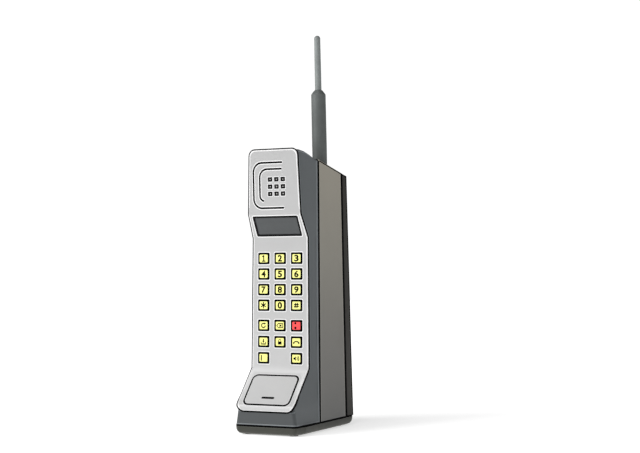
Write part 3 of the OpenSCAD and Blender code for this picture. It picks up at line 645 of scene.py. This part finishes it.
def side_strip(name, zs, y0_of, y1_of, off, mat, body, x_of=None):
    """A thin strip lying on both side walls, between two lines."""
    for sgn, tag in ((1, "r"), (-1, "l")):
        vs, fs = [], []
        for z in zs:
            for y, o in ((y0_of(z), -0.25), (y0_of(z), off), (y1_of(z), off), (y1_of(z), -0.25)):
                x = (x_of(z, y) if x_of else half_w) + o
                vs.append(Vector((sgn * x, y, z)) * MM)
        for i in range(len(zs) - 1):
            for k in range(4):
                l = (k + 1) % 4
                fs.append((4 * i + k, 4 * i + 4 + k, 4 * i + 4 + l, 4 * i + l))
        fs += [(0, 1, 2, 3), tuple(4 * len(zs) - 4 + k for k in (3, 2, 1, 0))]
        add(name + "_" + tag, vs, fs, mat, body, smooth=30)


# pale line along the front shell's edge behind the faceplate: a painted highlight
side_strip("shell_front_edge", [28, 34, 42, 50, 53.7, 58, 90, 120, 150, 162, 168, 175, 182.4, 190, 205, 220, 229],
           lambda z: front_y(z, 2.0) + 0.02, lambda z: front_y(z, 2.0) + 1.0, 0.03, highlight_strip_mat, "handset", wall_x)
# pale strips on the two housings either side of their joint, painted highlights, and the dark joint itself
side_strip("shell_joint_edge", [8.4, 60, 120, 180, 226.0], lambda z: part_y(z) - 2.5, lambda z: part_y(z) - 1.1, 0.05, highlight_strip_mat, "handset",
           lambda z, y: wall_x(z, min(y, part_y(z))))
side_strip("rear_joint_edge", [8.4, 60, 120, 180, 226.0], lambda z: part_y(z) + 1.1, lambda z: part_y(z) + 2.1, 0.04, highlight_strip_beige, "handset")
side_strip("rear_pack_edge", [8.4, 60, 120, 180, 216.2], lambda z: y_pack - 2.7, lambda z: y_pack - 1.6, 0.04, highlight_strip_beige, "handset")


def hoop(name, y_of, w, off, zb, zt, rc, mat, body):
    """A dark strip of width w round the sides and top of the housings."""
    h = half_w
    pts = [(h, z) for z in (zb, zb + 60, zb + 120, zt - rc - 1)] + arc(h - rc, zt - rc, rc, 0, 90, 6)
    pts += [(-x, z) for x, z in reversed(pts)]
    n = len(pts)
    vs, fs = [], []
    for i, (x, z) in enumerate(pts):
        a, b = Vector(pts[max(i - 1, 0)]), Vector(pts[min(i + 1, n - 1)])
        t = (b - a).normalized()
        nx, nz = t.y, -t.x
        y = y_of(z)
        for dy, o in ((-w / 2, -0.25), (-w / 2, off), (w / 2, off), (w / 2, -0.25)):
            drop = (top_z(y + dy) - top_z(y)) if abs(x) < h - 0.01 else 0
            vs.append(Vector((x + nx * o, y + dy, z + nz * o + drop)) * MM)
    for i in range(n - 1):
        for k in range(4):
            l = (k + 1) % 4
            fs.append((4 * i + k, 4 * i + 4 + k, 4 * i + 4 + l, 4 * i + l))
    fs += [(0, 1, 2, 3), tuple(4 * n - 4 + k for k in (3, 2, 1, 0))]
    return add(name, vs, fs, mat, body, smooth=30)


hoop("shell_seam", part_y, 2.3, 0.10, 7.7, 227.2, 1.6, seam_mat, "handset")
hoop("rear_rim_seal", lambda z: y_pack - 0.72, 1.9, 0.09, 7.7, top_z(y_pack), 0.5, seam_mat, "handset")
hoop("pack_rim_seal", lambda z: y_pack + 0.98, 1.2, 0.09, 8.05, top_z(y_pack + 0.7) - 0.1, 0.5, seam_mat, "battery_pack")


def base_plan(d):
    h, w, f, b = 29.5 - d, half_w + 0.2 - d, -46.5 + d, 49 - d
    r = max(3.2 - d * 0.4, 0.8)
    return (arc(h - r, f + r, r, -90, -20, 4) + arc(w - r, f + 14, r, -15, 0, 1) + arc(w - r, b - r, r, 0, 90, 5)
            + arc(-w + r, b - r, r, 90, 180, 5) + arc(-w + r, f + 14, r, 180, 195, 1) + arc(-h + r, f + r, r, 200, 270, 4))


def plan_band(name, d_out, d_in, z0, z1, mat, body):
    a, b = base_plan(d_out), base_plan(d_in)
    n = len(a)
    vs = [Vector((x, y, z)) * MM for P, z in ((a, z0), (a, z1), (b, z1), (b, z0)) for x, y in P]
    fs = [(k * n + i, k * n + (i + 1) % n, ((k + 1) % 4) * n + (i + 1) % n, ((k + 1) % 4) * n + i) for k in range(4) for i in range(n)]
    return add(name, vs, fs, mat, body, smooth=30)


# dark trim down the back edges of the pack
side_strip("pack_back_trim", [8.4, 60, 120, 180, 213.2], lambda z: back_y(z) - 1.9, lambda z: back_y(z) - 0.42, 0.06, seam_mat, "battery_pack")


def top_trim(name, ys, mat, body, x_of):
    """Dark trim just under the top edge of the side walls."""
    for sgn, tag in ((1, "r"), (-1, "l")):
        vs, fs = [], []
        for y in ys:
            zt = top_z(y) - 0.42
            for z, o in ((zt, -0.25), (zt, 0.06), (zt - 1.0, 0.06), (zt - 1.0, -0.25)):
                vs.append(Vector((sgn * (x_of(z, y) + o), y, z)) * MM)
        for i in range(len(ys) - 1):
            for k in range(4):
                l = (k + 1) % 4
                fs.append((4 * i + k, 4 * i + 4 + k, 4 * i + 4 + l, 4 * i + l))
        fs += [(0, 1, 2, 3), tuple(4 * len(ys) - 4 + k for k in (3, 2, 1, 0))]
        add(name + "_" + tag, vs, fs, mat, body, smooth=30)


top_trim("rear_top_trim", [-1.5, 8, 18, 28, 34.4], seam_mat, "handset", lambda z, y: half_w)
top_trim("pack_top_trim", [37.0, 41, 45.2], seam_mat, "battery_pack", lambda z, y: half_w)
plan_band("base_seam", 0.05, 1.6, 6.9, 8.75, seam_mat, "handset")


def foot_path(z, o):
    """The front shell's plan at height z moved out by o, from its right side round the chin to its left."""
    h = plate_hw(z)
    y = part_y(z) - 1.3
    R = [(0.0, -46.0 - o)] + arc(h - 3, -43.0, 3 + o, -90, 0, 6) + [(h + (half_w - h) * (y + 43) / (part_y(z) + 43) + o, y)]
    return [(-x, v) for x, v in reversed(R[1:])] + R


# pale strip round the chin just above the base seam: a painted highlight
def foot_edge():
    vs = [Vector((x, y, z)) * MM for z, o in ((8.7, -0.3), (8.7, 0.05), (9.75, 0.05), (9.75, -0.3)) for x, y in foot_path(z, o)]
    n = len(vs) // 4
    fs = [(k * n + i, k * n + i + 1, ((k + 1) % 4) * n + i + 1, ((k + 1) % 4) * n + i) for k in range(4) for i in range(n - 1)]
    fs += [(0, n, 2 * n, 3 * n), (4 * n - 1, 3 * n - 1, 2 * n - 1, n - 1)]
    add("shell_foot_edge", vs, fs, highlight_strip_mat, "handset", smooth=30)


foot_edge()

# black surround of the display window and of the mouthpiece cover
ribbon_loop("display_surround", disp_face, rrect(43.9, 18.7, 1.2), rrect(40.6, 15.4, 0.7), -0.08, 0.60, black_rubber, "handset")
ribbon_loop("mouthpiece_surround", mouth_face, [(x, s - 3.1) for x, s in rrect(45.3, 31.3, 5.3)], [(x, s - 3.1) for x, s in rrect(42.3, 28.3, 4.0)],
            -0.38, 1.1, black_rubber, "handset")
slot_pts = rrect(12.2, 2.0, 0.9)
ribbon_loop("mouthpiece_slot_felt", mouth_face, [(x, s - 11) for x, s in slot_pts], [(x * 0.02, s * 0.02 - 11) for x, s in slot_pts], -0.37, 0.6, black_rubber, "handset")

# painted shade: dark strips in the two curved grooves beside the earpiece and dark linings in its sound holes, each
# with a pale lip as a painted highlight
groove_out = [(8.6, 225.3)] + arc(-11.5, 217.3, 8, 90, 180, 10) + arc(-11.5, 195.4, 8, 180, 270, 10) + [(9.6, 187.4)]
groove_in = [(8.0, 219.9)] + arc(-6.4, 212.9, 7, 90, 180, 10) + arc(-8.9, 197.8, 4.5, 180, 261, 6)
for nm, g in (("ear_groove_outer", groove_out), ("ear_groove_inner", groove_in)):
    a, b = stroke_sides(g, 3.0)
    ribbon_loop(nm + "_lip", ear_face, a, b, -0.02, 0.3, highlight_lip_mat, "handset", closed=False)
    a, b = stroke_sides(g, 1.6)
    ribbon_loop(nm, ear_face, a, b, -0.05, 0.5, ink_and_groove_shade, "handset", closed=False)
for i in (-1, 0, 1):
    for j in (-1, 0, 1):
        ex, ez = 2.8 + 6.2 * i, 205.2 + 6.0 * j
        ribbon_loop("sound_hole_lip_%d%d" % (i + 1, j + 1), ear_face, [(ex + x, ez + z) for x, z in rrect(5.4, 4.8, 0.9, 3)],
                    [(ex + x, ez + z) for x, z in rrect(3.9, 3.3, 0.5, 3)], -0.02, 0.3, highlight_lip_mat, "handset")
        ribbon_loop("sound_hole_liner_%d%d" % (i + 1, j + 1), ear_face, [(ex + x, ez + z) for x, z in rrect(4.4, 3.8, 0.5, 3)],
                    [(ex + x, ez + z) for x, z in rrect(1.2, 1.0, 0.2, 3)], -0.06, 2.0, black_rubber, "handset")

# ------------------------------------------------------------------ keys
KEY_W, KEY_H, PROUD, CROWN = 8.6, 7.3, 0.6, 0.14
rows = [37.3, 24.2, 11.1, -2.0, -18.9, -32.5, -46.1]
KEYS = {
    "key_1": (0, 0), "key_2": (1, 0), "key_3": (2, 0), "key_4": (0, 1), "key_5": (1, 1), "key_6": (2, 1), "key_7": (0, 2), "key_8": (1, 2), "key_9": (2, 2),
    "key_star": (0, 3), "key_0": (1, 3), "key_hash": (2, 3), "key_recall": (0, 4), "key_clear": (1, 4), "key_send": (2, 4),
    "key_store": (0, 5), "key_lock": (1, 5), "key_end": (2, 5), "key_power": (0, 6), "key_volume": (2, 6)}


def crown(x, s):
    return -PROUD - CROWN * (1 - (2 * x / KEY_W) ** 2) * (1 - (2 * s / KEY_H) ** 2) + CROWN


def key_cap(name, cx, cs):
    vs, fs = [], []
    n = 4 * 6

    def ring(w, h, r, d, crowned=False):
        i0 = len(vs)
        for x, s in rrect(w, h, r, 5):
            vs.append(keys_face.at(cx + x, cs + s, crown(x, s) if crowned else d))
        return i0

    rings = [ring(3.2, 3.2, 1.55, 4.5), ring(3.2, 3.2, 1.55, 3.5), ring(KEY_W + 2.2, KEY_H + 2.2, 0.8, 3.5), ring(KEY_W + 2.4, KEY_H + 2.4, 0.8, 3.4),
             ring(KEY_W + 2.4, KEY_H + 2.4, 0.8, 2.85), ring(KEY_W + 2.2, KEY_H + 2.2, 0.8, 2.75), ring(KEY_W, KEY_H, 0.9, 2.75), ring(KEY_W, KEY_H, 0.9, 0.2),
             ring(KEY_W - 0.05, KEY_H - 0.05, 0.9, -0.2), ring(KEY_W - 0.22, KEY_H - 0.22, 0.9, -0.42), ring(KEY_W - 0.55, KEY_H - 0.55, 0.85, -0.56),
             ring(KEY_W - 0.85, KEY_H - 0.85, 0.8, 0, True), ring(KEY_W - 1.1, KEY_H - 1.1, 0.8, 0, True), ring((KEY_W - 1.1) * 0.75, (KEY_H - 1.1) * 0.75, 0.8, 0, True),
             ring((KEY_W - 1.1) * 0.45, (KEY_H - 1.1) * 0.45, 0.7, 0, True), ring((KEY_W - 1.1) * 0.18, (KEY_H - 1.1) * 0.18, 0.3, 0, True)]
    for a, b in zip(rings, rings[1:]):
        for i in range(n):
            j = (i + 1) % n
            fs.append((a + i, a + j, b + j, b + i))
    fs.append(tuple(range(rings[0], rings[0] + n))[::-1])
    fs.append(tuple(range(rings[-1], rings[-1] + n)))
    mat = red_mat if name == "key_send" else key_mat
    ob = add(name + "_cap", vs, fs, mat, name, smooth=40)
    # the cap's shoulder carries the dark skirt that frames its coloured face
    ob.data.materials.append(skirt_mat)
    for i in range(11 * n):
        ob.data.polygons[i].material_index = 1
    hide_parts(name)
    return ob


def glyph_from_font(text, height, width, bold):
    """Triangles of a printed character, centred on 0,0, in millimetres."""
    cu = bpy.data.curves.new("glyph", "FONT")
    cu.body = text
    cu.size = 1.0
    cu.offset = bold
    cu.fill_mode = "FRONT"
    cu.resolution_u = 6
    ob = bpy.data.objects.new("glyph", cu)
    bpy.context.collection.objects.link(ob)
    bpy.context.view_layer.update()
    me = bpy.data.meshes.new_from_object(ob.evaluated_get(bpy.context.evaluated_depsgraph_get()))
    co = [v.co.copy() for v in me.vertices]
    faces = [tuple(p.vertices) for p in me.polygons]
    bpy.data.objects.remove(ob)
    bpy.data.curves.remove(cu)
    bpy.data.meshes.remove(me)
    x0, x1 = min(c.x for c in co), max(c.x for c in co)
    y0, y1 = min(c.y for c in co), max(c.y for c in co)
    k, l = height / (y1 - y0), width / (x1 - x0)
    return [((c.x - (x0 + x1) / 2) * l, (c.y - (y0 + y1) / 2) * k) for c in co], faces


def band(P, w, closed=False):
    """A line of width w as quads."""
    if closed:
        n = len(P)
        L, R = [], []
        for i in range(n):
            t = (Vector(P[(i + 1) % n]) - Vector(P[i - 1])).normalized()
            L.append((P[i][0] - t.y * w / 2, P[i][1] + t.x * w / 2))
            R.append((P[i][0] + t.y * w / 2, P[i][1] - t.x * w / 2))
        return L + R, [(i, (i + 1) % n, n + (i + 1) % n, n + i) for i in range(n)]
    L, R = stroke_sides(P, w)
    n = len(P)
    return L + R, [(i, i + 1, n + i + 1, n + i) for i in range(n - 1)]


def disc(cx, cy, r, n=20):
    return [(cx + r * math.cos(2 * math.pi * i / n), cy + r * math.sin(2 * math.pi * i / n)) for i in range(n)], [tuple(range(n))]


def join(*parts):
    vs, fs = [], []
    for v, f in parts:
        o = len(vs)
        vs += v
        fs += [tuple(i + o for i in q) for q in f]
    return vs, fs


def poly(*p):
    return list(p), [tuple(range(len(p)))]


W = 0.95
GLYPHS = {}
for d in "23456780":
    GLYPHS["key_" + d] = glyph_from_font(d, 5.5, 4.3, 0.038)
GLYPHS["key_9"] = ([(-x, -z) for x, z in GLYPHS["key_6"][0]], GLYPHS["key_6"][1])
GLYPHS["key_1"] = join(band([(0.15, -2.7), (0.15, 2.75)], 1.1), band([(-1.6, -2.3), (1.9, -2.3)], 0.9), band([(0.2, 2.35), (-1.45, 1.5)], 0.95))
GLYPHS["key_star"] = join(*[band([(2.7 * math.cos(math.radians(a)), 2.7 * math.sin(math.radians(a))), (0, 0), (-2.7 * math.cos(math.radians(a)), -2.7 * math.sin(math.radians(a)))], 0.95) for a in (90, 30, 150)])
GLYPHS["key_hash"] = join(band([(-1.3, -2.2), (-0.5, 2.2)], W), band([(0.5, -2.2), (1.3, 2.2)], W), band([(-2.3, 0.8), (2.3, 0.8)], W), band([(-2.3, -0.8), (2.3, -0.8)], W))
GLYPHS["key_recall"] = join(band(arc(0, -0.1, 1.8, 60, 360, 18), W), poly((0.9, 2.5), (0.9, 0.6), (2.5, 1.5)))
GLYPHS["key_clear"] = join(band([(-2.9, 0), (-1.3, 1.75), (2.8, 1.75), (2.8, -1.75), (-1.3, -1.75)], 0.85, True),
                           band([(-0.25, -0.8), (1.55, 0.8)], 0.85), band([(-0.25, 0.8), (1.55, -0.8)], 0.85))
GLYPHS["key_send"] = join(disc(-0.9, 2.1, 0.95), disc(-0.9, -1.8, 1.1))
GLYPHS["key_store"] = join(band([(-2.2, -0.3), (-2.2, -2.0), (2.2, -2.0), (2.2, -0.3)], W), band([(0, 2.3), (0, 0.2)], W), poly((-1.1, 0.5), (0, -1.1), (1.1, 0.5)))
GLYPHS["key_lock"] = join(poly((-1.8, -2.2), (1.8, -2.2), (1.8, 0.3), (-1.8, 0.3)), band([(-1.15, 0.2), (-1.15, 0.9)] + arc(0, 0.9, 1.15, 180, 0, 10) + [(1.15, 0.2)], 0.55))
GLYPHS["key_end"] = join(band(arc(0, -2.6, 3.2, 140, 40, 12), 0.95), poly((-3.0, 0.0), (-1.9, 0.2), (-1.9, -1.5), (-3.0, -1.5)), poly((3.0, 0.0), (1.9, 0.2), (1.9, -1.5), (3.0, -1.5)))
GLYPHS["key_power"] = band([(-2.0, -2.4), (-2.0, 2.4)], 1.0)
GLYPHS["key_volume"] = join(poly((-2.7, -0.75), (-1.7, -0.75), (-0.4, -2.0), (-0.4, 2.0), (-1.7, 0.75), (-2.7, 0.75)),
                            band(arc(-0.4, 0, 1.45, -48, 48, 8), 0.68), band(arc(-0.4, 0, 2.8, -48, 48, 10), 0.68))


def legend(name, cx, cs):
    pts2, faces = GLYPHS[name]
    bm = bmesh.new()
    bv = [bm.verts.new((x, s, 0)) for x, s in pts2]
    for f in faces:
        try:
            bm.faces.new([bv[i] for i in f])
        except ValueError:
            pass
    bmesh.ops.triangulate(bm, faces=bm.faces)
    bmesh.ops.subdivide_edges(bm, edges=[e for e in bm.edges if e.calc_length() > 1.1], cuts=2, use_grid_fill=True)
    bmesh.ops.triangulate(bm, faces=bm.faces)
    bm.verts.index_update()
    vs = [keys_face.at(cx + v.co.x, cs + v.co.y, crown(v.co.x, v.co.y) - 0.03) for v in bm.verts]
    fs = [tuple(v.index for v in f.verts) for f in bm.faces]
    bm.free()
    return add(name + "_legend", vs, fs, ink_and_groove_shade, name, smooth=0)


for kname, (c, r) in KEYS.items():
    cx, cs = (c - 1) * 16.0, rows[r]
    key_cap(kname, cx, cs)
    legend(kname, cx, cs)
    # pale lip round each key opening: a painted highlight
    ribbon_loop("lip_" + kname[4:], keys_face, [(cx + x, cs + z) for x, z in rrect(12.7, 11.2, 1.6)], [(cx + x, cs + z) for x, z in rrect(11.0, 9.5, 0.95)],
                -0.05, 0.3, highlight_lip_mat, "handset")
    ribbon_loop("frame_" + kname[4:], keys_face, [(cx + x, cs + z) for x, z in rrect(11.25, 9.75, 1.0)], [(cx + x, cs + z) for x, z in rrect(8.68, 7.38, 0.95)],
                -0.09, 0.7, seam_mat, "handset")


# ------------------------------------------------------------------ stage and light
def stage():
    n = 96
    vs = [(0, 0, 0)] + [(2.3 * math.cos(2 * math.pi * i / n), 2.3 * math.sin(2 * math.pi * i / n), 0) for i in range(n)]
    fs = [(0, 1 + i, 1 + (i + 1) % n) for i in range(n)]
    me = bpy.data.meshes.new("floor")
    me.from_pydata(vs, [], fs)
    k = Nodes("floor_pale")
    c = k.mix(k.noise(3, 2), (0.86, 0.86, 0.86), (0.90, 0.90, 0.90))
    k.link(c, k.bsdf.inputs["Base Color"])
    far = k.t.nodes.new("ShaderNodeVectorMath")
    far.operation = "LENGTH"
    k.link(k.coord, far.inputs[0])
    k.link(k.span(far.outputs["Value"], 0.08, 0.6, 0.60, 0.97), k.bsdf.inputs["Emission Strength"])
    k.set(Roughness=0.9, Specular_IOR_Level=0.1, Emission_Color=(1, 1, 1, 1))
    me.materials.append(k.m)
    ob = bpy.data.objects.new("floor", me)
    bpy.context.collection.objects.link(ob)


stage()


def area(name, loc, aim, size, power, size_y=None, colour=(1, 1, 1)):
    li = bpy.data.lights.new(name, "AREA")
    li.energy = power
    li.color = colour
    li.size = size
    if size_y:
        li.shape = "RECTANGLE"
        li.size_y = size_y
    ob = bpy.data.objects.new(name, li)
    bpy.context.collection.objects.link(ob)
    ob.location = loc
    ob.rotation_euler = (Vector(aim) - Vector(loc)).to_track_quat("-Z", "Y").to_euler()


area("key_light", (-1.25, -1.45, 1.15), (0, 0, 0.15), 1.1, 32.4)
area("fill_light", (1.9, -0.7, 0.9), (0, 0, 0.12), 1.4, 1.1)
area("top_light", (0.0, -0.75, 1.9), (0, 0, 0.1), 1.0, 8.1)

world = bpy.data.worlds.new("studio")
world.use_nodes = True
bpy.context.scene.world = world
wt = world.node_tree
wt.nodes.clear()
wo = wt.nodes.new("ShaderNodeOutputWorld")
lit = wt.nodes.new("ShaderNodeBackground")
lit.inputs[0].default_value = (1, 1, 1, 1)
lit.inputs[1].default_value = 0.16
seen = wt.nodes.new("ShaderNodeBackground")
seen.inputs[0].default_value = (1, 1, 1, 1)
seen.inputs[1].default_value = 1.05
path = wt.nodes.new("ShaderNodeLightPath")
pick = wt.nodes.new("ShaderNodeMixShader")
wt.links.new(path.outputs["Is Camera Ray"], pick.inputs[0])
wt.links.new(lit.outputs[0], pick.inputs[1])
wt.links.new(seen.outputs[0], pick.inputs[2])
wt.links.new(pick.outputs[0], wo.inputs[0])
bpy.context.scene.view_settings.view_transform = "Standard"

bpy.context.view_layer.update()
